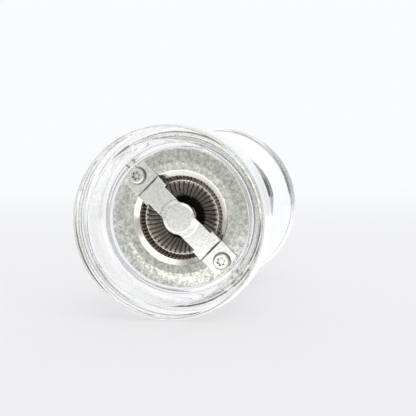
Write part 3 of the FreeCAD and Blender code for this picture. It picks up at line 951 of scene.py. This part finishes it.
shadow_ring_group, start, end = start_group(
    "screw_shadow_ring", {"Inner": 2.0, "Outer": 3.0, "Amount": 0.8}, {"Mask": "NodeSocketFloat"},
)
part = add_node(shadow_ring_group, "ShaderNodeSeparateXYZ", {"Vector": object_place(shadow_ring_group)}).outputs
from_screw = combine(shadow_ring_group, "SUBTRACT", magnitude(shadow_ring_group, part["X"]), screw_spread * MM)
offset = add_node(shadow_ring_group, "ShaderNodeCombineXYZ", {"X": from_screw, "Y": part["Y"]}).outputs["Vector"]
screw_distance = combine(shadow_ring_group, "MULTIPLY", axis_distance(shadow_ring_group, offset), MM_PER_METRE)
past_inner = smooth_step(shadow_ring_group, screw_distance, start["Inner"], screw_head_radius)
before_outer = smooth_step(shadow_ring_group, screw_distance, start["Outer"], screw_head_radius)
shadow_ring_mask = combine(shadow_ring_group, "MULTIPLY", past_inner, before_outer)
shadow_ring_group.links.new(combine(shadow_ring_group, "MULTIPLY", shadow_ring_mask, start["Amount"]), end["Mask"])
print("screw heads", round(screw_head_radius, 2), "mm in radius,", round(screw_spread, 2), "mm from the axis")

# %% Screw shadow rings
STRAP_SHADOW_RING = {"Inner": 1.8, "Outer": 3.1, "Amount": 0.85}
HEAD_SHADOW_RING = {"Inner": 2.1, "Outer": 3.0, "Amount": 0.75}

for material, ring in ((bridge_zinc, STRAP_SHADOW_RING), (nickel, HEAD_SHADOW_RING)):
    painted_shadow = add_node(material.node_tree, "ShaderNodeGroup", ring, node_tree=shadow_ring_group)
    # Painted shadow round each screw head.
    repaint(material, painted_shadow.outputs["Mask"], GREY_DIRT_AND_SHADE)
    print("dust ring in", material.name)

# %% [markdown]
# ## Drawn and turned lines
# The shaft is bar pulled through a die, so its lines run lengthwise; the knob is cut on a lathe, so its
# lines run round. Noise squeezed along one direction gives both: only the direction differs.

# %% Tool lines
DRAWN_SQUEEZE = (3000, 3000, 40)
DRAWN_DEPTH = 3.0
TURNED_FINENESS = 4000.0
TURNED_DEPTH = 2.0


def tool_lines(material, vector, depth):
    """Add fine lines, noise along a squeezed vector, to the height of a metal's relief."""
    tree = material.node_tree
    noise = add_node(tree, "ShaderNodeTexNoise", {"Vector": vector, "Scale": 1.0, "Detail": 2.0})
    lines = combine(tree, "MULTIPLY", noise.outputs["Fac"], depth)
    height = tree.nodes["relief"].inputs["Height"]
    before = height.links[0].from_socket
    tree.links.new(combine(tree, "ADD", before, lines), height)
    print("tool lines in", material.name)


tree = aluminium.node_tree
place = object_place(tree)
drawn = add_node(tree, "ShaderNodeVectorMath", {0: place, 1: DRAWN_SQUEEZE}, operation="MULTIPLY")
tool_lines(aluminium, drawn.outputs["Vector"], DRAWN_DEPTH)

tree = polished.node_tree
place = object_place(tree)
turned = add_node(tree, "ShaderNodeCombineXYZ", {
    "X": combine(tree, "MULTIPLY", axis_distance(tree, place), TURNED_FINENESS),
    "Z": combine(tree, "MULTIPLY", direction_part(tree, place, up_axis), TURNED_FINENESS),
})
tool_lines(polished, turned.outputs["Vector"], TURNED_DEPTH)

# %% [markdown]
# ## Worn and bright places
# Some places on these pieces differ from the rest: the ring's turned outer wall is bright, and so are the
# edge of the cone that rubs the pepper and the rolled lip of the plate, while the hollow round the shaft
# is painted near black as shade. They are rings round the mill's axis, so a mask made from the distance
# to that axis finds them.

# %% Masks by radius
EVERY_HEIGHT = 1000.0

radius_group, start, end = start_group(
    "axis_radius", {"Start": 10.0, "End": 11.0, "Top": EVERY_HEIGHT}, {"Mask": "NodeSocketFloat"},
)
place = object_place(radius_group)
radius = combine(radius_group, "MULTIPLY", axis_distance(radius_group, place), MM_PER_METRE)
height = combine(radius_group, "MULTIPLY", direction_part(radius_group, place, up_axis), MM_PER_METRE)
inside = smooth_step(radius_group, radius, start["Start"], start["End"])
below = combine(radius_group, "LESS_THAN", height, start["Top"])
radius_group.links.new(combine(radius_group, "MULTIPLY", inside, below), end["Mask"])
print("axis_radius has", len(radius_group.nodes), "nodes")

# %% Bright rings
# Radii where each tone starts and is complete, and the height that it stays below, in millimetres.
RING_WALL = {"Start": 13.2, "End": 14.0}
CONE_EDGE = {"Start": 11.3, "End": 11.4}
SHAFT_HOLLOW = {"Start": 7.4, "End": 6.4, "Top": 27.6}
PLATE_LIP = {"Start": 14.9, "End": 14.6}
TURNED_STEEL = (0.80, 0.79, 0.77)
RUBBED_STEEL = (0.92, 0.91, 0.88)
# Painted shade: the deep hollow round the shaft is painted near black.
PAINTED_HOLLOW_SHADE = (0.02, 0.018, 0.015)
ROLLED_ZINC = (0.84, 0.80, 0.76)

for material, band, colour in (
    (ring_steel, RING_WALL, TURNED_STEEL), (male_steel, CONE_EDGE, RUBBED_STEEL),
    (male_steel, SHAFT_HOLLOW, PAINTED_HOLLOW_SHADE), (plate_zinc, PLATE_LIP, ROLLED_ZINC),
):
    mask = add_node(material.node_tree, "ShaderNodeGroup", band, node_tree=radius_group)
    repaint(material, mask.outputs["Mask"], colour)
    print("ring in", material.name, "from", band["Start"], "to", band["End"], "mm")

# %% [markdown]
# ## Dress the pieces
# The frame's solids already have the right shapes, down to the burrs' teeth, so they stay as they are.
# Each one only swaps its plain material for the finish made above.

# %% Dress the pieces
FINISHES = {
    "base_plate": plate_zinc,
    "bridge": bridge_zinc,
    "ring_burr": ring_steel,
    "male_burr": male_steel,
    "bridge_screws": nickel,
    "drive_plate_screws": nickel,
    "drive_plate": stainless,
    "shaft": aluminium,
    "knob": polished,
}
for name, finish in FINISHES.items():
    mesh = nodes[name].data
    mesh.materials.clear()
    mesh.materials.append(finish)
    print(name, "is finished in", finish.name)

# %% [markdown]
# ## Finish
# Light crosses many faces on its way through a hollow clear mill, so it is followed for more bounces than
# usual: cut short, it would leave black patches.

# %% Finish
CLEAR_BOUNCES = 64
MIRROR_BOUNCES = 24

scene.view_settings.view_transform = "Standard"
scene.cycles.max_bounces = CLEAR_BOUNCES
scene.cycles.transmission_bounces = CLEAR_BOUNCES
scene.cycles.glossy_bounces = MIRROR_BOUNCES
